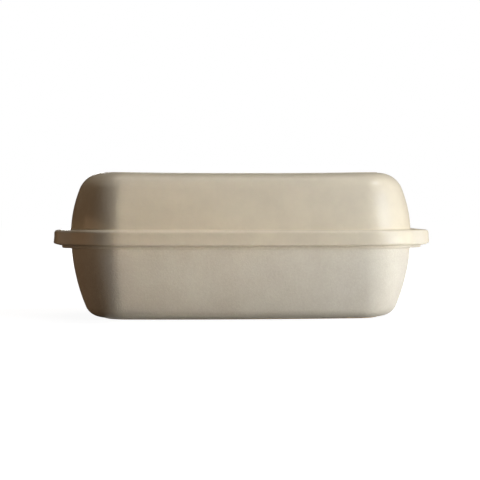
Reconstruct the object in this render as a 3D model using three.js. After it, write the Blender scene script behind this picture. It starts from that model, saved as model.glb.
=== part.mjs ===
// Covered loaf baker in glazed stoneware: a long dish, and a domed lid whose skirt wraps the dish's rim.
// Millimetres, +Z up, X along the length, origin at the middle of the plane that the foot rests on.
import * as THREE from "three";

// Plan of both pieces, outside the walls at rim height: long sides that bow out a little, round corners
const WALL_LENGTH = 364.6;
const WALL_WIDTH = 143.8;
const CORNER_RADIUS = 61.6;
const SIDE_BOW_RADIUS = 1700;

// Dish: heights, walls, and the two arcs that its side follows from rim to foot
const DISH_HEIGHT = 86.2;
const DISH_WALL = 7;
const DISH_FLOOR = 7;
const DISH_DRAFT_DEG = 1.4;
const DISH_SIDE_RADIUS = 208;
const DISH_HEEL_RADIUS = 17.5;
const DISH_INNER_HEEL_RADIUS = 18;

// Foot ring under the dish
const FOOT_HEIGHT = 1.4;
const FOOT_WIDTH = 8;
const FOOT_SETBACK = 34.8;

// Rim of the dish: a slight bead that grows into a flat tab at each end
const BEAD_ON_SIDES = 0.3;
const BEAD_ON_CORNERS = 2.4;
const TAB_REACH = 6.8;
const TAB_DEPTH = 11.1;
const TAB_EDGE_RADIUS = 1.6;

// Lid: heights, walls, and the two arcs that its dome follows from flange to top
const DOME_HEIGHT = 60.5;
const LID_WALL = 7;
const LID_TOP = 7;
const LID_DRAFT_DEG = 2.4;
const LID_SIDE_RADIUS = 139;
const LID_SHOULDER_RADIUS = 26.5;
const LID_INNER_SHOULDER_RADIUS = 19;

// Raised panel on top of the lid
const PANEL_HEIGHT = 1;
const PANEL_SETBACK = 35.9;
const PANEL_EDGE = 1.2;

// Flange of the lid: its plate, and its skirt, which wraps the dish's rim and makes a handle at each end
const FLANGE_PLATE = 7.4;
const SKIRT_DROP = 8.4;
const SKIRT_ON_SIDES = 5.9;
const SKIRT_ON_CORNERS = 4.9;
const SKIRT_ON_ENDS = 6.5;
const SKIRT_SPLAY = 0.7;
const FLANGE_EDGE_RADIUS = 3.2;
const SKIRT_EDGE_RADIUS = 1.8;
const DOME_FILLET_RADIUS = 1.8;

// Part of the corner's turn, from the long side, over which the bead swells
const BEAD_FLARE_DEG = [8, 45];

// Tabs and handles in plan: half a tab's width at its end, the way their sides face, counted from the long
// side, and how softly their sides meet the end and spring from the bead
const TAB_HALF_WIDTH = 37.5;
const LUG_SIDE_DEG = 27;
const LUG_CORNER_BLEND = 9;
const LUG_ROOT_BLEND = 3;

// Fits between the two pieces
const SEAT_GAP = 0.3;
const SKIRT_CLEARANCE = 1.2;

// Facets along half a long side and each corner of the plan, and each side, bend and edge of a profile
const BOW_STEPS = 3;
const CORNER_STEPS = 18;
const SIDE_STEPS = 6;
const BEND_STEPS = 5;
const EDGE_STEPS = 3;

const QUARTER = Math.PI / 2;
const smooth = (turn, [from, to]) => THREE.MathUtils.smoothstep(THREE.MathUtils.radToDeg(turn), from, to);

// Centre of the corner's arc, where it touches the bowed side, and the turn at which it does
const bowReach = SIDE_BOW_RADIUS - CORNER_RADIUS;
const bowCentreY = WALL_WIDTH / 2 - SIDE_BOW_RADIUS;
const cornerX = WALL_LENGTH / 2 - CORNER_RADIUS;
const bowTurn = Math.asin(cornerX / bowReach);
const cornerY = bowCentreY + bowReach * Math.cos(bowTurn);

/** What a blend adds where two lines meet: most where they cross, nothing once they are its width apart. */
const blend = (a, b, width) => Math.max(width - Math.abs(a - b), 0) ** 2 / (4 * width);

const lugSide = THREE.MathUtils.degToRad(LUG_SIDE_DEG);

/**
 * Reach of a tab or handle from the corner's centre, at a turn of the corner (0 long side, 90 degrees end).
 * It has a straight end and a straight side, each at a distance from that centre, and a soft corner.
 */
function lugReach(turn, endDistance, sideDistance) {
  const slant = turn - lugSide;
  if (slant < 0) return 0;
  const end = endDistance / Math.sin(turn);
  const side = sideDistance / Math.cos(slant);
  return Math.min(end, side) - blend(end, side, LUG_CORNER_BLEND);
}

/** How far a line of the profile stands out: a bead that swells over the corner, and the lug on it. */
function standOut(turn, onSides, onCorners, onEnds, sideDistance) {
  const bead = THREE.MathUtils.lerp(onSides, onCorners, smooth(turn, BEAD_FLARE_DEG));
  const lug = lugReach(turn, CORNER_RADIUS + onEnds, sideDistance) - CORNER_RADIUS;
  return Math.max(bead, lug) + blend(bead, lug, LUG_ROOT_BLEND);
}

const tabSide =
  (CORNER_RADIUS + TAB_REACH) * Math.sin(lugSide) + (TAB_HALF_WIDTH - cornerY) * Math.cos(lugSide);
const handleSide = tabSide + SKIRT_CLEARANCE + SKIRT_ON_CORNERS;

const noFlare = () => 0;
const rimFlare = (turn) => standOut(turn, BEAD_ON_SIDES, BEAD_ON_CORNERS, TAB_REACH, tabSide);
const skirtInner = (turn) => rimFlare(turn) + SKIRT_CLEARANCE;
const skirtOuter = (turn) =>
  standOut(
    turn,
    BEAD_ON_SIDES + SKIRT_CLEARANCE + SKIRT_ON_SIDES,
    BEAD_ON_CORNERS + SKIRT_CLEARANCE + SKIRT_ON_CORNERS,
    TAB_REACH + SKIRT_CLEARANCE + SKIRT_ON_ENDS,
    handleSide,
  );
const skirtHem = (turn) => skirtOuter(turn) + SKIRT_SPLAY;

/**
 * Stations of a quarter of the plan, from the middle of a long side to the end: a point of the spine, which
 * lies one corner radius inside the wall, the way out, and the turn.
 */
function quarterStations() {
  const turns = [];
  for (let step = 0; step < BOW_STEPS; step += 1) turns.push((bowTurn * step) / BOW_STEPS);
  for (let step = 0; step <= CORNER_STEPS; step += 1) {
    turns.push(THREE.MathUtils.lerp(bowTurn, QUARTER, step / CORNER_STEPS));
  }
  return turns.map((turn) => {
    const onBow = Math.min(turn, bowTurn);
    return {
      spine: new THREE.Vector2(bowReach * Math.sin(onBow), bowCentreY + bowReach * Math.cos(onBow)),
      out: new THREE.Vector2(Math.sin(turn), Math.cos(turn)),
      turn,
    };
  });
}

/** Stations round the whole plan, counter-clockwise from the +X end: the quarter, mirrored to each side. */
function planStations() {
  const mirrored = (signX, signY) => {
    const sign = new THREE.Vector2(signX, signY);
    return quarterStations().map(({ spine, out, turn }) => ({
      spine: spine.multiply(sign),
      out: out.multiply(sign),
      turn,
    }));
  };
  return [
    ...mirrored(1, 1).reverse(),
    ...mirrored(-1, 1).slice(1),
    ...mirrored(-1, -1).reverse(),
    ...mirrored(1, -1).slice(1),
  ];
}

/** A profile point: reach from the corner centre, height, and the flare that pushes it out. */
const point = (reach, z, flare = noFlare) => ({ reach, z, flare });

/** Points of a circle arc in the profile, about (reach, z), between two angles in radians. */
function arc(reach, z, radius, from, to, steps, flare = noFlare) {
  return Array.from({ length: steps + 1 }, (_, i) => {
    const angle = THREE.MathUtils.lerp(from, to, i / steps);
    return point(reach + radius * Math.cos(angle), z + radius * Math.sin(angle), flare);
  });
}

/**
 * Side of a vessel that starts at the rim with a draft and runs, along a wide arc and then a tight one,
 * until it lies flat a given height away. direction is +1 for a dome and -1 for a dish.
 */
function vesselSide({ reach, z, height, direction, draftDeg, sideRadius, endRadius }) {
  const draft = THREE.MathUtils.degToRad(draftDeg);
  const meet = Math.asin((height + sideRadius * Math.sin(draft) - endRadius) / (sideRadius - endRadius));
  const sideReach = reach - sideRadius * Math.cos(draft);
  const sideZ = -sideRadius * Math.sin(draft);
  const endReach = sideReach + (sideRadius - endRadius) * Math.cos(meet);
  const endZ = sideZ + (sideRadius - endRadius) * Math.sin(meet);
  const side = arc(sideReach, sideZ, sideRadius, draft, meet, SIDE_STEPS);
  const end = arc(endReach, endZ, endRadius, meet, QUARTER, BEND_STEPS).slice(1);
  return [...side, ...end].map((p) => point(p.reach, z + direction * p.z));
}

/** Carries a profile round the plan and closes it with a flat cap at each end. */
function sweep(profile) {
  const stations = planStations();
  const positions = [];
  for (const { spine, out, turn } of stations) {
    for (const { reach, z, flare } of profile) {
      const offset = reach + flare(turn);
      positions.push(spine.x + out.x * offset, spine.y + out.y * offset, z);
    }
  }
  const rows = profile.length;
  const count = stations.length;
  const startCentre = count * rows;
  const endCentre = startCentre + 1;
  positions.push(0, 0, profile[0].z, 0, 0, profile[rows - 1].z);
  const triangles = [];
  for (let s = 0; s < count; s += 1) {
    const here = s * rows;
    const next = ((s + 1) % count) * rows;
    for (let r = 0; r < rows - 1; r += 1) {
      triangles.push(here + r, next + r, next + r + 1, here + r, next + r + 1, here + r + 1);
    }
    triangles.push(startCentre, next, here, endCentre, here + rows - 1, next + rows - 1);
  }
  const geometry = new THREE.BufferGeometry();
  geometry.setAttribute("position", new THREE.Float32BufferAttribute(positions, 3));
  geometry.setIndex(triangles);
  geometry.computeVertexNormals();
  return geometry;
}

/** The rest of a side from where its reach or its z first passes a value, with a point put there. */
function cutAt(side, key, value) {
  const after = side.findIndex((p) => p[key] > value);
  const low = side[after - 1];
  const high = side[after];
  const share = (value - low[key]) / (high[key] - low[key]);
  const cut = point(
    THREE.MathUtils.lerp(low.reach, high.reach, share),
    THREE.MathUtils.lerp(low.z, high.z, share),
  );
  return [cut, ...side.slice(after)];
}

/** Dish profile: recess under the floor, foot ring, outer side, tab, rim, inner side, floor. */
function dishProfile() {
  const outer = vesselSide({
    reach: CORNER_RADIUS,
    z: DISH_HEIGHT,
    height: DISH_HEIGHT - FOOT_HEIGHT,
    direction: -1,
    draftDeg: DISH_DRAFT_DEG,
    sideRadius: DISH_SIDE_RADIUS,
    endRadius: DISH_HEEL_RADIUS,
  }).reverse();
  const inner = vesselSide({
    reach: CORNER_RADIUS - DISH_WALL,
    z: DISH_HEIGHT,
    height: DISH_HEIGHT - FOOT_HEIGHT - DISH_FLOOR,
    direction: -1,
    draftDeg: DISH_DRAFT_DEG,
    sideRadius: DISH_SIDE_RADIUS - DISH_WALL,
    endRadius: DISH_INNER_HEEL_RADIUS,
  });
  const footOuter = CORNER_RADIUS - FOOT_SETBACK;
  const tabBottom = DISH_HEIGHT - TAB_DEPTH;
  const underside = [point(0, FOOT_HEIGHT), ...outer];
  const flank = cutAt(underside, "reach", footOuter).filter((p) => p.z < tabBottom);
  const underTab = cutAt(outer, "z", tabBottom)[0];
  const edge = TAB_EDGE_RADIUS;
  const tabReach = CORNER_RADIUS - edge;
  return [
    point(footOuter - FOOT_WIDTH, FOOT_HEIGHT),
    point(footOuter - FOOT_WIDTH, 0),
    point(footOuter, 0),
    ...flank,
    underTab,
    ...arc(tabReach, tabBottom + edge, edge, -QUARTER, 0, EDGE_STEPS, rimFlare).slice(1),
    ...arc(tabReach, DISH_HEIGHT - edge, edge, 0, QUARTER, EDGE_STEPS, rimFlare),
    ...inner,
  ];
}

/** Lid profile: flat ceiling, inner side, seat, skirt, flange edge, dome, raised panel. */
function lidProfile() {
  const seat = DISH_HEIGHT + SEAT_GAP;
  const flangeTop = seat + FLANGE_PLATE;
  const skirtBottom = seat - SKIRT_DROP;
  const domeTop = flangeTop + DOME_HEIGHT;
  const dome = vesselSide({
    reach: CORNER_RADIUS,
    z: flangeTop,
    height: DOME_HEIGHT,
    direction: 1,
    draftDeg: LID_DRAFT_DEG,
    sideRadius: LID_SIDE_RADIUS,
    endRadius: LID_SHOULDER_RADIUS,
  });
  const inner = vesselSide({
    reach: CORNER_RADIUS - LID_WALL,
    z: seat,
    height: domeTop - LID_TOP - seat,
    direction: 1,
    draftDeg: LID_DRAFT_DEG,
    sideRadius: LID_SIDE_RADIUS - LID_WALL,
    endRadius: LID_INNER_SHOULDER_RADIUS,
  }).reverse();
  const panelReach = CORNER_RADIUS - PANEL_SETBACK;
  const fromTop = [point(0, domeTop), ...dome.slice().reverse()];
  const panelFoot = cutAt(fromTop, "reach", panelReach + PANEL_EDGE)[0];
  const fillet = DOME_FILLET_RADIUS;
  const filletTop = flangeTop + fillet;
  const filletCentre = cutAt(dome, "z", filletTop)[0].reach + fillet;
  const domeSide = dome.filter((p) => p.z > filletTop && p.reach > panelFoot.reach);
  const edge = FLANGE_EDGE_RADIUS;
  const hem = SKIRT_EDGE_RADIUS;
  return [
    ...inner,
    point(CORNER_RADIUS, seat, skirtInner),
    point(CORNER_RADIUS, skirtBottom, skirtInner),
    ...arc(CORNER_RADIUS - hem, skirtBottom + hem, hem, -QUARTER, 0, EDGE_STEPS, skirtHem),
    ...arc(CORNER_RADIUS - edge, flangeTop - edge, edge, 0, QUARTER, EDGE_STEPS, skirtOuter),
    ...arc(filletCentre, filletTop, fillet, 3 * QUARTER, 2 * QUARTER, EDGE_STEPS),
    ...domeSide,
    panelFoot,
    point(panelReach, domeTop + PANEL_HEIGHT),
  ];
}

/** A named piece in its own glaze. */
function piece(name, profile, material) {
  const mesh = new THREE.Mesh(sweep(profile), material);
  mesh.name = name;
  return mesh;
}

const dishGlaze = new THREE.MeshStandardMaterial({ color: 0xb8af9e, roughness: 0.5, metalness: 0 });
const lidGlaze = new THREE.MeshStandardMaterial({ color: 0xc0b39c, roughness: 0.3, metalness: 0 });

const loafBaker = new THREE.Group();
loafBaker.add(piece("dish", dishProfile(), dishGlaze));
loafBaker.add(piece("lid", lidProfile(), lidGlaze));

export default loafBaker;
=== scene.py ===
# %% [markdown]
# # A covered loaf baker in glazed stoneware
# The object is a long dish with a domed lid. Each is one piece of fired clay, so each becomes one mesh.
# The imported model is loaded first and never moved: it gives the sizes that the two meshes have to fit.

import bpy
import numpy as np
from mathutils import Euler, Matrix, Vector


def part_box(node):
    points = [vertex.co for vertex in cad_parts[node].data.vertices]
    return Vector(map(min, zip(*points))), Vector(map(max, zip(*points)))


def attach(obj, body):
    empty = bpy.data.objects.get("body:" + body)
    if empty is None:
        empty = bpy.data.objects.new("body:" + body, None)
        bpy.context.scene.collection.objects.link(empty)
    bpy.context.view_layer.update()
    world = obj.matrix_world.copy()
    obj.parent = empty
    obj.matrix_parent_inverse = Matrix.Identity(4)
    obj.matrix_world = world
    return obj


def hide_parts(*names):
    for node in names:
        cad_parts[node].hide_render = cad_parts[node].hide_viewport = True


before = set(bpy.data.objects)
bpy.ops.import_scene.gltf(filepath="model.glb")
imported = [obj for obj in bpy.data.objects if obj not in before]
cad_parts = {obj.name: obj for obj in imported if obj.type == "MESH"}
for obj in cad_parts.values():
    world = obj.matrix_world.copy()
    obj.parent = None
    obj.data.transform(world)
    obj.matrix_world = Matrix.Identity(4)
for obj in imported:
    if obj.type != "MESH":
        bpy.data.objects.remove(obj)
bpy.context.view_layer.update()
MM = 0.001
dish_low, dish_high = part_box("dish")
lid_low, lid_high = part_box("lid")
print("dish stands from", round(dish_low.z / MM, 1), "to", round(dish_high.z / MM, 1), "mm")
print("lid hangs from", round(lid_low.z / MM, 1), "to", round(lid_high.z / MM, 1), "mm")

# %% [markdown]
# ## The plan
# Seen from above, dish and lid share one outline: long sides that bow out a little, round corners and
# short straight ends. A bevelled box could be bent into that, but a path is easier to control. The path
# below is a line one corner radius inside the wall, called the spine, with the direction that points out
# of the wall at each station. Every surface is then a profile that is carried along this path, pushed out
# by its reach.

# %% Path round the plan
CORNER = 61.6 * MM
HALF_LENGTH = 182.3 * MM
HALF_WIDTH = 71.9 * MM
SIDE_BOW = 1700 * MM
BOW_STEPS, CORNER_STEPS, END_STEPS = 22, 66, 3


def quarter_path():
    """Stations from the middle of the back to the middle of the right end, one row each.

    A row holds the spine's x and y, the way out's x and y, and how far the way out has turned. On the bowed
    side the spine is an arc of radius SIDE_BOW less CORNER; in the corner it stays at the corner's centre
    while the way out turns; on the straight end it runs on to the middle.
    """
    corner_x = HALF_LENGTH - CORNER
    bow_reach = SIDE_BOW - CORNER
    bow_centre = HALF_WIDTH - SIDE_BOW
    bow_turn = np.arcsin(corner_x / bow_reach)
    on_side = np.linspace(0, bow_turn, BOW_STEPS, endpoint=False)
    turned = np.concatenate([on_side, np.linspace(bow_turn, np.pi / 2, CORNER_STEPS)])
    along = np.minimum(turned, bow_turn)
    bend = np.column_stack([bow_reach * np.sin(along), bow_centre + bow_reach * np.cos(along),
                            np.sin(turned), np.cos(turned), turned])
    end = np.tile([corner_x, 0, 1, 0, np.pi / 2], (END_STEPS, 1))
    end[:, 1] = np.linspace(bend[-1, 1], 0, END_STEPS + 1)[1:]
    return np.vstack([bend, end])


def plan_path():
    """Stations round the whole plan, counter-clockwise: one quarter and its three mirror images.

    Stations that two quarters share are kept once.
    """
    quarter = quarter_path()
    mirror_x, mirror_y = np.array([[-1, 1, -1, 1, 1], [1, -1, 1, -1, 1]])
    back_left = (quarter * mirror_x)[1:]
    front_left = (quarter * mirror_x * mirror_y)[::-1][1:]
    front_right = (quarter * mirror_y)[1:-1]
    return np.vstack([quarter[::-1], back_left, front_left, front_right])


path = plan_path()
spine, way_out, turn = path[:, 0:2], path[:, 2:4], path[:, 4]
print("stations round the plan:", len(path))

# %% [markdown]
# ## Bead, tabs and handles
# The dish's rim carries a faint bead that swells round the corners and stands out as a flat tab at each
# end. The lid's skirt wraps that rim and makes the two handles. They could be modelled by themselves and
# joined on, but in the real piece they are formed with the wall. So here, too, how far a line of the
# profile stands out depends only on how far the corner has turned. A tab or handle is called a lug: it
# has a straight end, and straight sides that splay towards the corners.

# %% How far the rim and the skirt stand out
BEAD_SIDES, BEAD_CORNERS = 0.3 * MM, 2.4 * MM
BEAD_FLARE_DEG = (8, 45)
CLEARANCE = 1.2 * MM
SKIRT_SIDES, SKIRT_CORNERS = 5.9 * MM, 4.9 * MM
SPLAY = 0.7 * MM
TAB_HALF_WIDTH = 37.5 * MM
LUG_SIDE = np.radians(27)
CORNER_BLEND, ROOT_BLEND = 9 * MM, 3 * MM
LEAST_SINE = 0.1        # on the long sides, where no lug is, so that nothing is divided by zero


def ease(value, low, high):
    """Smooth step: 0 below low, 1 above high, and 3 t^2 - 2 t^3 between them."""
    t = np.clip((value - low) / (high - low), 0, 1)
    return t * t * (3 - 2 * t)


def blend(a, b, width):
    """What softens the meeting of two lines: (width - |a - b|)^2 / (4 width), nothing past the width."""
    return np.maximum(width - np.abs(a - b), 0) ** 2 / (4 * width)


def stand_out(on_sides, on_corners, end_distance, side_distance):
    """Reach added at each station: a bead eased from sides to corners, and the lug that springs from it.

    A straight line at a distance from the corner's centre has a reach of that distance over the cosine of
    the angle between the way out and the way that the line faces. The lug is the nearer of its end and side.
    """
    bead = on_sides + (on_corners - on_sides) * ease(np.degrees(turn), *BEAD_FLARE_DEG)
    slant = turn - LUG_SIDE
    end = end_distance / np.maximum(np.sin(turn), LEAST_SINE)
    side = side_distance / np.cos(slant)
    lug = np.where(slant < 0, 0, np.minimum(end, side) - blend(end, side, CORNER_BLEND)) - CORNER
    return np.maximum(bead, lug) + blend(bead, lug, ROOT_BLEND)


print("bead stands out", BEAD_SIDES / MM, "mm on the sides,", BEAD_CORNERS / MM, "mm at the corners")

# %% Flare of the rim and of the skirt
tab_end = dish_high.x - HALF_LENGTH
handle_end = lid_high.x - HALF_LENGTH - SPLAY
corner_y = spine[np.isclose(turn, np.pi / 2), 1].max()
tab_side = (CORNER + tab_end) * np.sin(LUG_SIDE) + (TAB_HALF_WIDTH - corner_y) * np.cos(LUG_SIDE)
handle_side = tab_side + CLEARANCE + SKIRT_CORNERS
rim_out = stand_out(BEAD_SIDES, BEAD_CORNERS, CORNER + tab_end, tab_side)
skirt_out = stand_out(BEAD_SIDES + CLEARANCE + SKIRT_SIDES, BEAD_CORNERS + CLEARANCE + SKIRT_CORNERS,
                      CORNER + handle_end, handle_side)
print("tab stands out", round(tab_end / MM, 1), "mm, handle", round(handle_end / MM, 1), "mm")

# %% [markdown]
# ## Profiles as tables
# A profile is what a saw would show if it cut the wall. It could be drawn as a curve, but a table holds
# more: one row for each line that runs round the piece, with its reach and height, how much of the rim's
# or the skirt's flare it takes, how far it is drawn in to the middle, and three shares that the materials
# read later. These are the edge share, for a painted highlight on rounded edges, the share for hollows,
# for pooled glaze with painted shade, and bare clay. Arcs fill many rows with one formula.

# %% Building blocks of a profile
# shares read by the materials: a painted highlight on edges, pooled glaze with painted shade in hollows,
# bare clay
SHARES = ["edge", "pool_and_shade", "bare"]
FIRST_SHARE = 5         # the columns before it are reach, height, rim, skirt and draw-in
CAP_DRAW = np.array([0.06, 0.2, 0.36, 0.52, 0.68, 0.82, 0.93])      # rows of a flat cap, out from its middle
CLEAR_OUTSIDE, CLEAR_INSIDE = 1.2, 1.3      # a wall's rows stop so many radii short of the round beside it


def strip(reach, z, rim=0.0, skirt=0.0, draw_in=1.0, edge=0.0, pool_and_shade=0.0, bare=0.0):
    """Rows of a profile: single numbers are repeated to the length of the longest column."""
    columns = np.broadcast_arrays(*np.atleast_1d(reach, z, rim, skirt, draw_in, edge, pool_and_shade, bare))
    return np.stack(columns, axis=1).astype(float)


def between(start, end, count):
    """Count even steps from start to end, without these two."""
    return np.linspace(start, end, count + 2)[1:-1]


def arc(reach, z, radius, start_deg, end_deg, count):
    """Reach and height of count points on a circle about (reach, z), between two angles."""
    angle = np.radians(np.linspace(start_deg, end_deg, count))
    return reach + radius * np.cos(angle), z + radius * np.sin(angle)


def vessel_side(reach, height, draft_deg, side_radius, end_radius, side_rows, end_rows):
    """Reach, and depth below the rim, of a wall that starts with a draft and ends flat at a given height.

    It follows a wide arc and then a tight one. They meet where both have the same slope, at the angle
    whose sine is (height + wide sin(draft) - tight) / (wide - tight).
    """
    draft = np.radians(draft_deg)
    meet = np.arcsin((height + side_radius * np.sin(draft) - end_radius) / (side_radius - end_radius))
    side_reach = reach - side_radius * np.cos(draft)
    side_depth = -side_radius * np.sin(draft)
    end_reach = side_reach + (side_radius - end_radius) * np.cos(meet)
    end_depth = side_depth + (side_radius - end_radius) * np.sin(meet)
    wide = arc(side_reach, side_depth, side_radius, draft_deg, np.degrees(meet), side_rows)
    tight = arc(end_reach, end_depth, end_radius, np.degrees(meet), 90, end_rows)
    return np.append(wide[0], tight[0][1:]), np.append(wide[1], tight[1][1:])


print("shares in a profile:", ", ".join(SHARES))

# %% [markdown]
# ## The dish
# The dish stands on a low ground foot ring. Its heel is a wide round, its wall nearly upright, and under
# the rim the tab's underside springs from the wall in a small hollow. A potter would turn or press it in
# one go. Here its rows run from the middle of the underside round the foot, up the outside, over the rim
# and down the inside to the middle of the floor, so that the skin closes by itself and has a true
# thickness.

# %% Foot and outside of the dish
DISH_WALL, DISH_FLOOR = 7 * MM, 7 * MM
DISH_DRAFT_DEG = 1.4
DISH_SIDE, DISH_HEEL = 208 * MM, 17.5 * MM
FOOT_OUTER = CORNER - 34.8 * MM
FOOT_HEIGHT, FOOT_WIDTH, FOOT_ROUND = 1.4 * MM, 8 * MM, 0.6 * MM
TAB_DEPTH, TAB_ROUND, TAB_HOLLOW = 11.1 * MM, 1.6 * MM, 1.4 * MM
TAB_EDGE_SHARE = 0.16
TAB_ROWS, UNDER_ROWS = 7, 3
rim_z = dish_high.z
tab_z = rim_z - TAB_DEPTH


def dish_foot():
    """Rows of the underside: a flat cap, then the foot ring as three quarter rounds."""
    inner = FOOT_OUTER - FOOT_WIDTH
    inner_round = arc(inner + FOOT_ROUND, FOOT_ROUND, FOOT_ROUND, 180, 270, count=5)
    outer_round = arc(FOOT_OUTER - FOOT_ROUND, FOOT_ROUND, FOOT_ROUND, -90, 0, count=5)
    root = arc(FOOT_OUTER + FOOT_ROUND, FOOT_HEIGHT - FOOT_ROUND, FOOT_ROUND, 180, 90, count=5)
    return np.vstack([
        strip(inner, FOOT_HEIGHT, draw_in=CAP_DRAW),
        strip(inner, FOOT_HEIGHT, bare=0.4),
        strip(*inner_round, bare=1),
        strip(*outer_round, bare=1),
        strip(*root, bare=[1, 0.6, 0.25, 0, 0], pool_and_shade=[0, 0.3, 0.7, 0.9, 0.6]),
    ])


def dish_outside():
    """Rows of the wall from the heel up, and the tab's hollow, underside and lower edge.

    The tab's rows go from the wall, a share of 0, to the full flare, a share of 1: a quarter round that
    springs from the wall, a flat, and a quarter round up to the outer face.
    """
    reach, depth = vessel_side(CORNER, rim_z - FOOT_HEIGHT, DISH_DRAFT_DEG, DISH_SIDE, DISH_HEEL,
                               side_rows=26, end_rows=18)
    wall_reach, wall_z = reach[::-1], rim_z - depth[::-1]
    flank = wall_z < tab_z - CLEAR_OUTSIDE * TAB_HOLLOW
    swing = np.radians(np.linspace(0, 90, TAB_ROWS))
    share = np.concatenate([TAB_EDGE_SHARE * (1 - np.cos(swing)),
                            between(TAB_EDGE_SHARE, 1 - TAB_EDGE_SHARE, UNDER_ROWS),
                            1 - TAB_EDGE_SHARE * (1 - np.sin(swing))])
    z = np.concatenate([tab_z - TAB_HOLLOW * (1 - np.sin(swing)), np.full(UNDER_ROWS, tab_z),
                        tab_z + TAB_ROUND * (1 - np.cos(swing))])
    wall = np.interp(np.minimum(z, tab_z), wall_z, wall_reach)
    none = np.zeros(TAB_ROWS + UNDER_ROWS)
    return np.vstack([
        strip(wall_reach[flank], wall_z[flank]),
        strip(wall + (CORNER - wall) * share, z, rim=share,
              pool_and_shade=np.append(np.linspace(0, 0.6, TAB_ROWS), none),
              edge=np.append(none, np.linspace(0, 0.8, TAB_ROWS))),
    ])


dish_outer_rows = np.vstack([dish_foot(), dish_outside()])
print("foot and outside of the dish have", len(dish_outer_rows), "rows")

# %% Rim and inside of the dish
DISH_INNER_SIDE, DISH_INNER_HEEL = 201 * MM, 18 * MM
RIM_ROUND = 1.7 * MM


def dish_rim():
    """Rows over the rim: the tab's outer face, the lip, the bare flat under the lid, the inner lip."""
    lip = arc(CORNER - TAB_ROUND, rim_z - TAB_ROUND, TAB_ROUND, 0, 90, count=7)
    inner_lip = arc(CORNER - DISH_WALL + RIM_ROUND, rim_z - RIM_ROUND, RIM_ROUND, 90, 180, count=7)
    return np.vstack([
        strip(CORNER, between(tab_z + TAB_ROUND, lip[1][0], 2), rim=1, edge=0.15),
        strip(*lip, rim=1, edge=[0.3, 0.7, 1, 1, 0.9, 0.6, 0.4], bare=[0, 0, 0, 0, 0.2, 0.5, 0.8]),
        strip(between(lip[0][-1], inner_lip[0][0], 4), rim_z, rim=[0.8, 0.6, 0.4, 0.2], bare=1),
        strip(*inner_lip, edge=[0.4, 0.6, 0.9, 1, 1, 0.7, 0.3], bare=[0.8, 0.5, 0.2, 0, 0, 0, 0]),
    ])


def dish_inside():
    """Rows of the inner wall, its heel and the floor."""
    reach, depth = vessel_side(CORNER - DISH_WALL, rim_z - FOOT_HEIGHT - DISH_FLOOR, DISH_DRAFT_DEG,
                               DISH_INNER_SIDE, DISH_INNER_HEEL, side_rows=26, end_rows=20)
    inside = depth > CLEAR_INSIDE * RIM_ROUND
    return np.vstack([
        strip(reach[inside], rim_z - depth[inside]),
        strip(reach[-1], FOOT_HEIGHT + DISH_FLOOR, draw_in=CAP_DRAW[::-1]),
    ])


dish_rows = np.vstack([dish_outer_rows, dish_rim(), dish_inside()])
print("dish profile has", len(dish_rows), "rows")

# %% [markdown]
# ## The lid
# The lid is a dome on a flat flange. A skirt hangs from the flange, hides the dish's rim and splays a
# little at its hem. A raised panel lies on top. The dome could be a scaled sphere, but its flat top and
# soft shoulder are two arcs, as the dish's wall is, so the same function serves. The rows run from the
# middle of the ceiling down the inside, over the seat, down and round the skirt, across the flange and up
# the dome to the panel.

# %% Ceiling, seat and skirt of the lid
LID_WALL, LID_TOP = 7 * MM, 7 * MM
LID_DRAFT_DEG = 2.4
LID_INNER_SIDE, LID_INNER_SHOULDER = 132 * MM, 19 * MM
SEAT_GAP = 0.3 * MM
FLANGE_PLATE, FLANGE_ROUND = 7.4 * MM, 3.2 * MM
PANEL_HEIGHT, PANEL_EDGE = 0.7 * MM, 1.4 * MM
SEAT_ROUND, SEAT_FILLET, HEM_INNER_ROUND, HEM_ROUND = 1.4 * MM, 1 * MM, 1.1 * MM, 1.8 * MM
FACE_ROWS, FLAT_ROWS = 7, 4
seat_z = rim_z + SEAT_GAP
flange_z = seat_z + FLANGE_PLATE
hem_z = lid_low.z
dome_z = lid_high.z - PANEL_HEIGHT
across = between(0, 1, FLAT_ROWS)


def lid_inside():
    """Rows of the ceiling and the inner wall, from the middle down to the seat."""
    reach, rise = vessel_side(CORNER - LID_WALL, dome_z - LID_TOP - seat_z, LID_DRAFT_DEG,
                              LID_INNER_SIDE, LID_INNER_SHOULDER, side_rows=22, end_rows=18)
    inside = rise > CLEAR_INSIDE * SEAT_ROUND
    return np.vstack([
        strip(reach[-1], dome_z - LID_TOP, draw_in=CAP_DRAW),
        strip(reach[inside][::-1], seat_z + rise[inside][::-1]),
    ])


def lid_seat():
    """Rows of the bare seat, which rests on the dish's rim, and of the skirt's inner face to the hem."""
    skirt_in = CORNER + CLEARANCE
    edge = arc(CORNER - LID_WALL + SEAT_ROUND, seat_z + SEAT_ROUND, SEAT_ROUND, 180, 270, count=6)
    corner = arc(skirt_in - SEAT_FILLET, seat_z - SEAT_FILLET, SEAT_FILLET, 90, 0, count=5)
    hem = arc(skirt_in + HEM_INNER_ROUND, hem_z + HEM_INNER_ROUND, HEM_INNER_ROUND, 180, 270, count=5)
    hem_outer = CORNER + SPLAY - HEM_ROUND
    return np.vstack([
        strip(*edge, edge=[0.3, 0.7, 1, 1, 0.7, 0.4], bare=[0, 0, 0.1, 0.3, 0.6, 0.8]),
        strip(between(edge[0][-1], corner[0][0], FLAT_ROWS), seat_z, rim=across, bare=1),
        strip(*corner, rim=1, bare=[0.8, 0.6, 0.4, 0.2, 0], pool_and_shade=0.5),
        strip(skirt_in, between(corner[1][-1], hem[1][0], FLAT_ROWS), rim=1),
        strip(*hem, rim=1, edge=[0.3, 0.8, 1, 0.8, 0.5]),
        strip(between(hem[0][-1], hem_outer, FLAT_ROWS), hem_z, rim=1 - across, skirt=across, edge=0.3),
    ])


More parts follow.
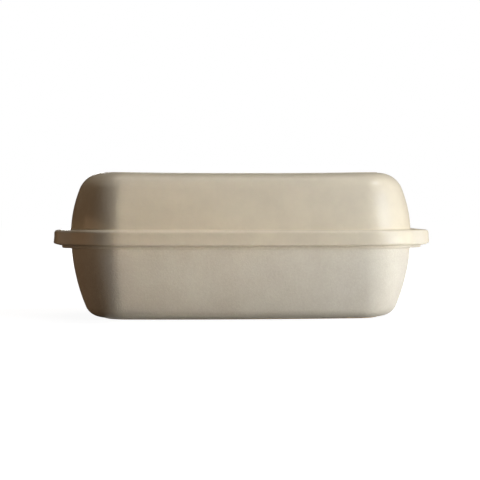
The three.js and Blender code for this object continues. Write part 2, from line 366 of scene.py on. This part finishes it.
def lid_skirt():
    """Rows of the skirt's outer face, splayed by the square of the way down, and of its two edges."""
    hem = arc(CORNER + SPLAY - HEM_ROUND, hem_z + HEM_ROUND, HEM_ROUND, -90, 0, count=8)
    edge = arc(CORNER - FLANGE_ROUND, flange_z - FLANGE_ROUND, FLANGE_ROUND, 0, 90, count=10)
    rise = between(0, 1, FACE_ROWS)
    face_z = hem[1][-1] + rise * (flange_z - FLANGE_ROUND - hem[1][-1])
    return np.vstack([
        strip(*hem, skirt=1, edge=[0.4, 0.7, 1, 1, 1, 0.8, 0.5, 0.3]),
        strip(CORNER + SPLAY * (1 - rise) ** 2, face_z, skirt=1),
        # the flange's rounded top edge takes the paler edge colour, a painted highlight
        strip(*edge, skirt=1, edge=[0, 0.2, 0.5, 0.8, 1, 1, 0.8, 0.5, 0.2, 0]),
    ])


lid_lower_rows = np.vstack([lid_inside(), lid_seat(), lid_skirt()])
print("ceiling, seat and skirt of the lid have", len(lid_lower_rows), "rows")

# %% Flange, dome and panel of the lid
LID_SIDE, LID_SHOULDER = 139 * MM, 26.5 * MM
DOME_FILLET = 2 * MM
PANEL_REACH = CORNER - 35.9 * MM
PANEL_ROWS = 11


def lid_dome():
    """Rows from the flange up the dome to the raised panel, whose edge is a smooth step."""
    reach, rise = vessel_side(CORNER, dome_z - flange_z, LID_DRAFT_DEG, LID_SIDE, LID_SHOULDER,
                              side_rows=26, end_rows=26)
    foot_reach = np.interp(DOME_FILLET, rise, reach)
    fillet = arc(foot_reach + DOME_FILLET, flange_z + DOME_FILLET, DOME_FILLET, 270, 180, count=8)
    outside = (rise > CLEAR_OUTSIDE * DOME_FILLET) & (reach > PANEL_REACH + PANEL_EDGE)
    step = np.linspace(0, 1, PANEL_ROWS)
    return np.vstack([
        strip(between(CORNER - FLANGE_ROUND, fillet[0][0], FLAT_ROWS), flange_z, skirt=1 - across,
              pool_and_shade=np.linspace(0, 0.5, FLAT_ROWS)),
        # the fillet at the dome's foot takes the darker hollow colour: pooled glaze with painted shade
        strip(*fillet, pool_and_shade=[0.7, 0.9, 1, 1, 0.9, 0.7, 0.5, 0.3]),
        strip(reach[outside], flange_z + rise[outside]),
        strip(PANEL_REACH + PANEL_EDGE * (1 - step), dome_z + PANEL_HEIGHT * ease(step, 0, 1),
              edge=0.8 * ease(step, 0.4, 1), pool_and_shade=0.6 * (1 - ease(step, 0, 0.4))),
        strip(PANEL_REACH, lid_high.z, draw_in=CAP_DRAW[::-1]),
    ])


lid_rows = np.vstack([lid_lower_rows, lid_dome()])
print("lid profile has", len(lid_rows), "rows")

# %% [markdown]
# ## Carrying a profile along the path
# A curve with a bevel object could do this, but it knows nothing of flares and shares. One array
# operation gives every vertex instead: station along one axis, profile row along the other. The first and
# last rows are closed by a fan to a point in the middle, so the mesh is one closed skin with no seam.

# %% Sweep a profile and make a mesh of it
def sweep(rows):
    """Points of a profile carried round the plan, as an array of stations by rows by three.

    A point is spine + way out * (reach + rim share * rim flare + skirt share * skirt flare), times draw_in.
    """
    reach, z, rim, skirt, draw_in = rows.T[:FIRST_SHARE]
    offset = reach + np.outer(rim_out, rim) + np.outer(skirt_out, skirt)
    x = (spine[:, 0:1] + way_out[:, 0:1] * offset) * draw_in
    y = (spine[:, 1:2] + way_out[:, 1:2] * offset) * draw_in
    return np.stack([x, y, np.broadcast_to(z, x.shape)], axis=2)


def placed(name, data):
    """Object that shows some data, linked to the scene at the origin."""
    thing = bpy.data.objects.new(name, data)
    bpy.context.scene.collection.objects.link(thing)
    return thing


def closed_skin(name, points, rows):
    """Mesh object of a swept grid: quads between neighbours, a fan at each end, and shares per vertex."""
    stations, count = points.shape[:2]
    here = np.arange(stations)[:, None] * count + np.arange(count - 1)
    beside = np.roll(here, -1, axis=0)
    quads = np.stack([here, beside, beside + 1, here + 1], axis=2).reshape(-1, 4)
    first = np.arange(stations) * count
    last = first + count - 1
    start_pole, end_pole = stations * count, stations * count + 1
    start_fan = np.stack([np.full(stations, start_pole), np.roll(first, -1), first], axis=1)
    end_fan = np.stack([np.full(stations, end_pole), last, np.roll(last, -1)], axis=1)
    poles = np.stack([points[:, 0].mean(axis=0), points[:, -1].mean(axis=0)])
    mesh = bpy.data.meshes.new(name)
    mesh.from_pydata(np.vstack([points.reshape(-1, 3), poles]), [],
                     quads.tolist() + start_fan.tolist() + end_fan.tolist())
    mesh.shade_smooth()
    shares = rows[:, FIRST_SHARE:]
    shares = np.append(np.tile(shares, (stations, 1)), shares[[0, -1]], axis=0)
    for share, values in zip(SHARES, shares.T):
        mesh.attributes.new(share, "FLOAT", "POINT").data.foreach_set("value", values.astype(np.float32))
    print(name, "has", len(quads) * 2 + 2 * stations, "triangles")
    return placed(name, mesh)


dish_grid, lid_grid = sweep(dish_rows), sweep(lid_rows)
print("stations by rows:", dish_grid.shape[:2], "in the dish,", lid_grid.shape[:2], "in the lid")

# %% [markdown]
# ## What the kiln does
# Fired clay is never quite true. The lid's long top has sunk a little between its ends and leans to the
# left, the handles are thinner at their tips, one shallow hollow lies beside the lid's left corner, and
# the walls keep faint waves from the mould. Light that grazes the front shows all of it. Sculpting could
# do this, but formulas give the same result each run. All are small moves of the vertices, kept inward,
# so that the piece stays inside the size that it was drawn to.

# %% Sag of the lid and thin tips of its handles
TOP_SAG, TOP_LEAN, TOP_SETTLE = 1.6 * MM, 0.4 * MM, 0.3 * MM
SAG_POWER = 2.4
TIP_LIFT, TIP_FROM, TIP_DEPTH = 1.6 * MM, 186 * MM, 9 * MM


def sunk(points):
    """Lid points lowered by sag and lean, which grow from the flange to the dome's top, and lifted tips.

    The sag is TOP_SAG * (1 - |x / half the panel|^SAG_POWER) and the lean grows evenly from right to left.
    The underside of a handle rises by TIP_LIFT at its end and fades out towards TIP_FROM.
    """
    x, z = points[..., 0], points[..., 2]
    half = HALF_LENGTH - CORNER + PANEL_REACH
    sag = TOP_SAG * np.clip(1 - np.abs(x / half) ** SAG_POWER, 0, 1)
    lean = TOP_LEAN * np.clip(0.5 - 0.5 * x / half, 0, 1)
    tip = ease(np.abs(x), TIP_FROM, lid_high.x) * (1 - ease(z, hem_z, hem_z + TIP_DEPTH))
    moved = points.copy()
    moved[..., 2] -= (TOP_SETTLE + sag + lean) * ease(z, flange_z, dome_z - LID_TOP)
    moved[..., 2] += TIP_LIFT * tip
    return moved


print("lid top sinks", round((TOP_SETTLE + TOP_SAG + TOP_LEAN / 2) / MM, 1), "mm in the middle")

# %% Waves and hollow of the walls
WAVE_DEPTH, WAVE_LENGTH = 0.1 * MM, 74 * MM
WAVE_ALONG, WAVE_UP = 0.6, 1.7      # slant of the second wave
HOLLOW_MIDDLE, HOLLOW_LEFT, HOLLOW_RIGHT = -110 * MM, 24 * MM, 45 * MM
LID_HOLLOW = 0.4 * MM
LOW_FADE, HIGH_FADE = 6 * MM, 12 * MM


def warped(points, low, high, hollow=0.0):
    """Points moved inwards by waves and a hollow, which fade out at the heights low and high.

    The waves are two crossing sine waves, up to WAVE_DEPTH deep. The hollow eases in from its left reach to
    its middle and out again to its right reach.
    """
    x, y, z = np.moveaxis(points, 2, 0)
    crossing = WAVE_ALONG * x - WAVE_UP * z + y
    waves = 2 + np.sin(2 * np.pi * x / WAVE_LENGTH) + np.sin(2 * np.pi * crossing / WAVE_LENGTH)
    from_left = ease(x, HOLLOW_MIDDLE - HOLLOW_LEFT, HOLLOW_MIDDLE)
    to_right = 1 - ease(x, HOLLOW_MIDDLE, HOLLOW_MIDDLE + HOLLOW_RIGHT)
    inward = WAVE_DEPTH * waves / 4 + hollow * from_left * to_right
    inward = inward * ease(z, low, low + LOW_FADE) * (1 - ease(z, high - HIGH_FADE, high))
    moved = points.copy()
    moved[..., 0] -= inward * way_out[:, 0:1]
    moved[..., 1] -= inward * way_out[:, 1:2]
    return moved


print("walls move in by up to", round((WAVE_DEPTH + LID_HOLLOW) / MM, 1), "mm")

# %% Make the two pieces
dish_points = warped(dish_grid, FOOT_HEIGHT, tab_z)
lid_points = sunk(warped(lid_grid, flange_z, dome_z, LID_HOLLOW))
dish = closed_skin("dish_stoneware", dish_points, dish_rows)
lid = closed_skin("lid_stoneware", lid_points, lid_rows)
for piece, node in ((dish, "dish"), (lid, "lid")):
    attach(piece, node)
    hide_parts(node)

# %% [markdown]
# ## Colours and nodes
# A hex value is what a colour picker shows, in sRGB. Shaders count in linear light, so one function turns
# the one into the other. One more function adds a node, sets it and links it.

# %% Helpers for materials
MIX_A, MIX_B, MIX_RESULT = 6, 7, 2        # the colour sockets of a Mix node


def linear(hex_code):
    """Linear RGBA of an sRGB hex colour: the lower part is divided by 12.92, the rest is a 2.4 power."""
    value = np.array([int(hex_code[i:i + 2], 16) for i in (1, 3, 5)]) / 255
    colour = np.where(value <= 0.04045, value / 12.92, ((value + 0.055) / 1.055) ** 2.4)
    return (*colour.tolist(), 1.0)


def add(tree, kind, inputs=None, **settings):
    """A node of that kind with its settings, and with each input set to a value or linked to a socket."""
    node = tree.nodes.new(kind)
    for key, value in settings.items():
        setattr(node, key, value)
    for key, value in (inputs or {}).items():
        if isinstance(value, bpy.types.NodeSocket):
            tree.links.new(value, node.inputs[key])
        else:
            node.inputs[key].default_value = value
    return node


def per_metre(size_mm):
    """Texture scale at which one feature is about size_mm across, with coordinates in metres."""
    return 1 / (size_mm * MM)


def blank_material(name):
    """A new material with an empty node tree."""
    material = bpy.data.materials.new(name)
    material.use_nodes = True
    material.node_tree.nodes.clear()
    return material


print("middle grey in linear light:", round(linear("#808080")[0], 3))

# %% [markdown]
# ## Glaze over clay
# Both pieces are the same clay under two glazes, and both are marked alike. Rounded edges take a paler
# colour, a painted highlight. Hollows take a darker, warmer colour, partly pooled glaze and partly painted
# shade. The glaze is wiped off where clay stands on clay or on the table, so bare clay shows there. Masks
# could be painted by hand, but the profiles already carry shares that say where. So one function mixes
# these into any glaze.

# %% Painted highlight on edges, pooled glaze and painted shade in hollows, bare clay
CLAY_HEX = "#D2B894"
CLAY_ROUGHNESS = 0.88
COAT_ROUGHNESS = 0.17
GLAZE_IOR = 1.5
# the edge share paints a highlight, and the share for hollows paints shade as well as pooled glaze
EDGE_HIGHLIGHT_SHOWS, POOL_AND_SHADE_SHOWS, CLAY_SHOWS = 0.45, 0.5, 1.0       # the most that each share may change the colour


def fired(name, colour_and_bump, edge_highlight_hex, pool_and_shade_hex, roughness, shine, coat):
    """Material of a glaze on clay: colour_and_bump(tree, place) gives the glaze's colour and its relief.

    The glaze turns to the edge colour by the edge share: a paler colour on rounded edges, which is a
    painted highlight. It turns to the hollow colour by the share for hollows: a darker, warmer colour that
    is partly pooled glaze and partly painted shade. It turns to clay by the bare share, which also takes the
    roughness from the glaze's to that of clay. Shine is how much the rough surface mirrors, and coat how
    much of a smoother clear skin lies over it.
    """
    material = blank_material(name)
    tree = material.node_tree
    place = add(tree, "ShaderNodeTexCoord").outputs["Object"]
    colour, normal = colour_and_bump(tree, place)
    edge, pool_and_shade, bare = [add(tree, "ShaderNodeAttribute", attribute_name=share).outputs["Fac"]
                        for share in SHARES]
    # paler edges are a painted highlight; darker hollows are pooled glaze with painted shade
    layers = (edge, edge_highlight_hex, EDGE_HIGHLIGHT_SHOWS), (pool_and_shade, pool_and_shade_hex, POOL_AND_SHADE_SHOWS), (bare, CLAY_HEX, CLAY_SHOWS)
    for share, hex_code, most in layers:
        part = add(tree, "ShaderNodeMath", {0: share, 1: most}, operation="MULTIPLY").outputs["Value"]
        mix = add(tree, "ShaderNodeMix", {0: part, MIX_A: colour, MIX_B: linear(hex_code)}, data_type="RGBA")
        colour = mix.outputs[MIX_RESULT]
    rough = add(tree, "ShaderNodeMapRange", {"Value": bare, "To Min": roughness, "To Max": CLAY_ROUGHNESS})
    shader = add(tree, "ShaderNodeBsdfPrincipled", {
        "Base Color": colour, "Roughness": rough.outputs["Result"], "Normal": normal, "IOR": GLAZE_IOR,
        "Specular IOR Level": shine, "Coat Weight": coat, "Coat Roughness": COAT_ROUGHNESS})
    add(tree, "ShaderNodeOutputMaterial", {"Surface": shader.outputs["BSDF"]})
    return material


print("clay in linear light:", [round(c, 3) for c in linear(CLAY_HEX)[:3]])

# %% [markdown]
# ## Satin cream glaze on the lid
# The lid was dipped in a cream glaze that fired to a satin skin. Its body scatters light softly and a
# thin clear skin lies over it, so there is a small spark on the shoulder and a pale sheen on the band,
# but no mirror. It clouds a little where it lay thicker. A picture could be wrapped round it, but noise
# at its real size does the same from every side.

# %% Material of the lid
CREAM_DEEP, CREAM_PALE = "#D0C4AC", "#D8CCB3"
LID_CLOUD_MM, PEEL_MM = 26, 3.5
PEEL_DEPTH = 0.12 * MM


def satin_clouds(tree, place):
    """Satin glaze: clouds LID_CLOUD_MM wide between two creams, and an orange peel of PEEL_MM waves."""
    cloud = add(tree, "ShaderNodeTexNoise", {
        "Vector": place, "Scale": per_metre(LID_CLOUD_MM), "Detail": 4.0, "Roughness": 0.62})
    spread = add(tree, "ShaderNodeMapRange", {
        "Value": cloud.outputs["Fac"], "From Min": 0.3, "From Max": 0.7})
    colour = add(tree, "ShaderNodeMix", {
        0: spread.outputs["Result"], MIX_A: linear(CREAM_DEEP), MIX_B: linear(CREAM_PALE)}, data_type="RGBA")
    peel = add(tree, "ShaderNodeTexNoise", {"Vector": place, "Scale": per_metre(PEEL_MM), "Detail": 2.0})
    bump = add(tree, "ShaderNodeBump", {
        "Height": peel.outputs["Fac"], "Strength": 0.8, "Distance": PEEL_DEPTH})
    return colour.outputs[MIX_RESULT], bump.outputs["Normal"]


# glass fused to clay: to the eye a warm cream with a soft sheen; its paler edges are a painted highlight
lid_glaze = fired("satin_cream_glaze_fired", satin_clouds, edge_highlight_hex="#DDD2BC", pool_and_shade_hex="#D0C2A2",
                  roughness=0.5, shine=0.3, coat=0.4)
lid.data.materials.append(lid_glaze)
print("lid wears", lid_glaze.name)

# %% [markdown]
# ## Matte stoneware glaze on the dish
# The dish wears a drier, greyer glaze with no clear skin. Fine grit from the clay comes through it, so it
# scatters light evenly and shows a sandy grain. The real grains are well under a millimetre, too fine for
# the picture, so they are drawn about three times as coarse. Real bumps of that size would need millions
# of faces: noise in the colour and in the shading does it.

# %% Material of the dish
STONE_DEEP, STONE_PALE = "#D5CBB9", "#E1D9C7"
GRIT_MM, DISH_CLOUD_MM, SAND_MM = 2.4, 34, 1.3
SAND_DEPTH = 0.3 * MM


def matte_grit(tree, place):
    """Matte glaze: grit of GRIT_MM and clouds of DISH_CLOUD_MM between two greys, and a relief of sand."""
    grit = add(tree, "ShaderNodeTexNoise", {
        "Vector": place, "Scale": per_metre(GRIT_MM), "Detail": 3.0, "Roughness": 0.65})
    cloud = add(tree, "ShaderNodeTexNoise", {
        "Vector": place, "Scale": per_metre(DISH_CLOUD_MM), "Detail": 3.0})
    both = add(tree, "ShaderNodeMath", {0: grit.outputs["Fac"], 1: cloud.outputs["Fac"]}, operation="ADD")
    spread = add(tree, "ShaderNodeMapRange", {
        "Value": both.outputs["Value"], "From Min": 0.7, "From Max": 1.3})
    colour = add(tree, "ShaderNodeMix", {
        0: spread.outputs["Result"], MIX_A: linear(STONE_DEEP), MIX_B: linear(STONE_PALE)}, data_type="RGBA")
    sand = add(tree, "ShaderNodeTexNoise", {"Vector": place, "Scale": per_metre(SAND_MM), "Detail": 2.0})
    bump = add(tree, "ShaderNodeBump", {
        "Height": sand.outputs["Fac"], "Strength": 0.8, "Distance": SAND_DEPTH})
    return colour.outputs[MIX_RESULT], bump.outputs["Normal"]


# a glaze full of small crystals: to the eye a dry, even grey cream, with a grain where light grazes it
# the paler edge colour is a painted highlight, and the darker hollow colour is pooled glaze with painted
# shade
dish_glaze = fired("matte_stoneware_glaze_fired", matte_grit, edge_highlight_hex="#DCD0BD", pool_and_shade_hex="#CDBFA7",
                   roughness=0.6, shine=0.3, coat=0.0)
dish.data.materials.append(dish_glaze)
print("dish wears", dish_glaze.name)

# %% [markdown]
# ## Floor and background
# The piece stands on white paper before a white background. A bright floor and world would light the
# glaze from everywhere and wash it out. So both are white to the eye and to reflections only: Light Path
# tells such rays apart. The floor also takes light as a dull surface, so the dish keeps a soft shadow
# under its heel.

# %% Floor
FLOOR_HALF = 6.0
FLOOR_DROP = 0.2 * MM
FLOOR_HEX = "#8C8A86"
NEAR_WHITE, NEAR, FAR = 0.93, 0.25, 0.7


def seen_as_background(tree):
    """1 for camera, glossy and transmission rays, 0 for the diffuse rays that carry light."""
    ray = add(tree, "ShaderNodeLightPath")
    gloss = add(tree, "ShaderNodeMath", {0: ray.outputs["Is Camera Ray"], 1: ray.outputs["Is Glossy Ray"]},
                operation="MAXIMUM")
    seen = add(tree, "ShaderNodeMath", {0: gloss.outputs["Value"], 1: ray.outputs["Is Transmission Ray"]},
               operation="MAXIMUM")
    return seen.outputs["Value"]


def white_paper():
    """Paper: a dull diffuse surface with the background's white added for seen rays.

    The white rises from NEAR_WHITE at NEAR metres to 1 at FAR, so a shadow shows near the dish alone.
    """
    material = blank_material("matte_white_paper")
    tree = material.node_tree
    dull = add(tree, "ShaderNodeBsdfDiffuse", {"Color": linear(FLOOR_HEX)})
    place = add(tree, "ShaderNodeTexCoord").outputs["Object"]
    away = add(tree, "ShaderNodeVectorMath", {0: place}, operation="LENGTH")
    paper = add(tree, "ShaderNodeMapRange", {
        "Value": away.outputs["Value"], "From Min": NEAR, "From Max": FAR, "To Min": NEAR_WHITE})
    white = add(tree, "ShaderNodeMath", {0: seen_as_background(tree), 1: paper.outputs["Result"]},
                operation="MULTIPLY")
    glow = add(tree, "ShaderNodeEmission", {"Strength": white.outputs["Value"]})
    both = add(tree, "ShaderNodeAddShader", {0: dull.outputs["BSDF"], 1: glow.outputs["Emission"]})
    add(tree, "ShaderNodeOutputMaterial", {"Surface": both.outputs["Shader"]})
    return material


# paper is pressed fibre without gloss: to the eye an even white that keeps only soft shadows
floor_mesh = bpy.data.meshes.new("paper_floor")
corners = np.array([[-1, -1], [1, -1], [1, 1], [-1, 1]]) * FLOOR_HALF
floor_mesh.from_pydata(np.column_stack([corners, np.full(4, -FLOOR_DROP)]), [], [(0, 1, 2, 3)])
floor_mesh.materials.append(white_paper())
floor = placed("paper_floor", floor_mesh)
print("floor", 2 * FLOOR_HALF, "m square")

# %% World
FILL_HEX = "#FFDDBB"
FILL_STRENGTH = 0.008
world = bpy.data.worlds.new("studio")
bpy.context.scene.world = world
world.use_nodes = True
sky = world.node_tree
sky.nodes.clear()
seen = seen_as_background(sky)
tone = add(sky, "ShaderNodeMix", {
    0: seen, MIX_A: linear(FILL_HEX), MIX_B: linear("#FFFFFF")}, data_type="RGBA")
level = add(sky, "ShaderNodeMapRange", {"Value": seen, "To Min": FILL_STRENGTH, "To Max": 1.0})
backing = add(sky, "ShaderNodeBackground", {
    "Color": tone.outputs[MIX_RESULT], "Strength": level.outputs["Result"]})
add(sky, "ShaderNodeOutputWorld", {"Surface": backing.outputs["Background"]})
print("the world lights the glaze with", FILL_STRENGTH)

# %% [markdown]
# ## Dark cards
# A pale pot on white paper loses its edges, because they mirror the paper. Photographers hang dark cards
# just outside the picture, and the edges mirror those. One card stands round the left, one at the right
# of the back and one arches over the back. A fourth lies on the floor at the left, where paper would
# lighten the dark end. They are hidden from the camera, so they show in no other view either.

# %% Cards round the left, the right and the back, and on the floor
CARD_RADIUS, CARD_HEIGHT = 1.4, 1.7
BACK_CARD_LIFT, BACK_CARD_DEG, BACK_CARD_STEPS = 0.1, (14, 95), 10
FLOOR_CARD_X, FLOOR_CARD_Y, FLOOR_CARD_Z = (-1.4, -0.145), (-0.9, 0.9), 0.1 * MM
FELT_HEX = "#1C1612"
# felt is a mat of dull fibres: to the eye a deep brown with no gloss at all
felt = blank_material("dark_felt")
fibres = add(felt.node_tree, "ShaderNodeBsdfPrincipled", {"Base Color": linear(FELT_HEX), "Roughness": 1.0})
add(felt.node_tree, "ShaderNodeOutputMaterial", {"Surface": fibres.outputs["BSDF"]})


def card(name, grid):
    """Dark sheet through a grid of points (rows by columns by three), unseen by the camera."""
    rows, columns = grid.shape[:2]
    corner = (np.arange(rows - 1)[:, None] * columns + np.arange(columns - 1)).reshape(-1, 1)
    mesh = bpy.data.meshes.new(name)
    mesh.from_pydata(grid.reshape(-1, 3), [], (corner + [0, 1, columns + 1, columns]).tolist())
    mesh.materials.append(felt)
    sheet = placed(name, mesh)
    sheet.visible_camera = False
    return sheet


def standing_card(name, start_deg, end_deg, count):
    """Card on an arc of CARD_RADIUS, between two angles that run from the back round the left."""
    angle = np.radians(np.linspace(start_deg, end_deg, count))
    foot = CARD_RADIUS * np.stack([-np.sin(angle), np.cos(angle), np.zeros(count)], axis=1)
    return card(name, foot + np.array([[[0, 0, 0]], [[0, 0, CARD_HEIGHT]]]))


standing_card("left_card", start_deg=15, end_deg=155, count=15)
standing_card("right_card", start_deg=-75, end_deg=-15, count=7)
over_back = np.radians(np.linspace(*BACK_CARD_DEG, BACK_CARD_STEPS))
back_arc = CARD_RADIUS * np.stack([0 * over_back, np.cos(over_back), np.sin(over_back)], axis=1)
back_ends = np.array([[[-CARD_RADIUS, 0, BACK_CARD_LIFT]], [[CARD_RADIUS, 0, BACK_CARD_LIFT]]])
card("back_card", back_arc + back_ends)
floor_corners = [[(x, y, FLOOR_CARD_Z) for x in FLOOR_CARD_X] for y in FLOOR_CARD_Y]
floor_card = card("floor_card", np.array(floor_corners))
floor_card.visible_shadow = False
print("cards at", CARD_RADIUS, "m")

# %% [markdown]
# ## Light
# All the strong light comes from the right and leaves the left end dark. Two narrow keys graze the front:
# a grid on them, which Blender calls spread, narrows their beams, and they point past the left end, so
# the right end stands in the weaker edge of the beams. A tall and a low softbox light the right end. The
# low one, and a small one for the right corner, are hidden from reflections, which would show them as
# hard bright patches. Weak lamps above and a warm glow from the left fill the rest, a small lamp puts a
# spark on the shoulder, and one more softbox lights the back. Light adds up, so one render for each lamp
# alone was enough to work out the strengths.

# %% A softbox
LIGHT_MIDDLE = Vector((0, -60 * MM, 100 * MM))


def softbox(name, azimuth, elevation, distance, aim, size, power,
            grid=180.0, colour="#FFFFFF", mirrored=True):
    """Rectangular area lamp at an azimuth from the front, an elevation and a distance, turned to aim.

    Grid is the angle of its beam. A lamp that isn't mirrored lights the glaze but shows in no reflection.
    """
    lamp = bpy.data.lights.new(name, "AREA")
    lamp.shape = "RECTANGLE"
    lamp.size, lamp.size_y = size
    lamp.energy = power
    lamp.spread = np.radians(grid)
    lamp.color = linear(colour)[:3]
    around, rise = np.radians([azimuth, elevation])
    toward = Vector((np.sin(around) * np.cos(rise), -np.cos(around) * np.cos(rise), np.sin(rise)))
    holder = placed(name, lamp)
    holder.location = LIGHT_MIDDLE + distance * toward
    holder.rotation_euler = (Vector(aim) - holder.location).to_track_quat("-Z", "Y").to_euler()
    holder.visible_glossy = mirrored
    return holder


print("lamps stand round", [round(value / MM) for value in LIGHT_MIDDLE], "mm")

# %% Lamps at the right
WAIST = (0, 0, 0.1)
KEY_SIZE = (0.12, 0.3)
softbox("key_softbox", azimuth=75, elevation=1.5, distance=1.56, aim=(-0.6, -0.06, 0.1), size=KEY_SIZE,
        power=0.26, grid=12, colour="#F7FFEB")
softbox("key_edge", azimuth=71, elevation=1.5, distance=1.56, aim=(-0.9, -0.06, 0.1), size=KEY_SIZE,
        power=0.66, grid=12, colour="#FFDFBE")
softbox("right_tall_softbox", azimuth=61, elevation=15.5, distance=1.5, aim=WAIST, size=(0.7, 0.8),
        power=10.2, colour="#CCDCFF")
softbox("right_low_softbox", azimuth=62, elevation=1.3, distance=1.5, aim=WAIST, size=(0.7, 0.25),
        power=14.3, colour="#FAF6EC", mirrored=False)
softbox("right_corner_softbox", azimuth=25, elevation=1.3, distance=1.5, aim=(0.34, -0.03, 0.09),
        size=(0.12, 0.25), power=0.15, grid=20, colour="#DCEAFF", mirrored=False)
softbox("right_top_softbox", azimuth=70, elevation=45, distance=1.25, aim=WAIST, size=(0.5, 0.5),
        power=0.26, colour="#EAF2FF")

# %% Lamps above, at the left and behind
softbox("over_softbox", azimuth=180, elevation=80, distance=1.2, aim=WAIST, size=(1.0, 0.4),
        power=3.6, colour="#FCF6EE")
softbox("left_glow", azimuth=-78, elevation=3, distance=1.2, aim=WAIST, size=(0.8, 0.3),
        power=1.24, colour="#FFD0A4")
softbox("shoulder_spark", azimuth=79.7, elevation=52.2, distance=1.31, aim=(0.137, -0.053, 0.142),
        size=(0.13, 0.13), power=4.0)
softbox("back_softbox", azimuth=180, elevation=14, distance=1.8, aim=(0, 0, 0.08), size=(1.6, 1.0), power=26)

# %% [markdown]
# ## Camera
# The camera stands a good metre away, three degrees round to the left and a little above the lid's
# flange. It could be tilted down to frame the piece, but it looks straight ahead with its lens shifted
# down, which keeps upright lines upright. Its place comes from the heights at which flange, foot and top
# appear in the picture, and its focal length from how wide the handles appear.

# %% Place the camera
IMAGE_SIZE = 480
FOCAL_PIXELS = 1015.0
HORIZON_ROW, MIDDLE_COLUMN = 207.0, 240.9
CAMERA_DISTANCE, CAMERA_HEIGHT = 1100 * MM, 117.2 * MM
YAW_DEG = 3.0
image_middle = (IMAGE_SIZE - 1) / 2
yaw = np.radians(YAW_DEG)
aside = (image_middle - MIDDLE_COLUMN) * CAMERA_DISTANCE / FOCAL_PIXELS
camera_data = bpy.data.cameras.new("camera")
camera_data.lens = FOCAL_PIXELS / IMAGE_SIZE * camera_data.sensor_width
camera_data.shift_y = (HORIZON_ROW - image_middle) / IMAGE_SIZE
camera = placed("camera", camera_data)
camera.location = (aside * np.cos(yaw) - CAMERA_DISTANCE * np.sin(yaw),
                   -aside * np.sin(yaw) - CAMERA_DISTANCE * np.cos(yaw), CAMERA_HEIGHT)
camera.rotation_euler = Euler((np.pi / 2, 0, -yaw))
bpy.context.scene.camera = camera
bpy.context.scene.view_settings.view_transform = "Standard"
print("lens", round(camera_data.lens, 1), "mm, shift", round(camera_data.shift_y, 3))
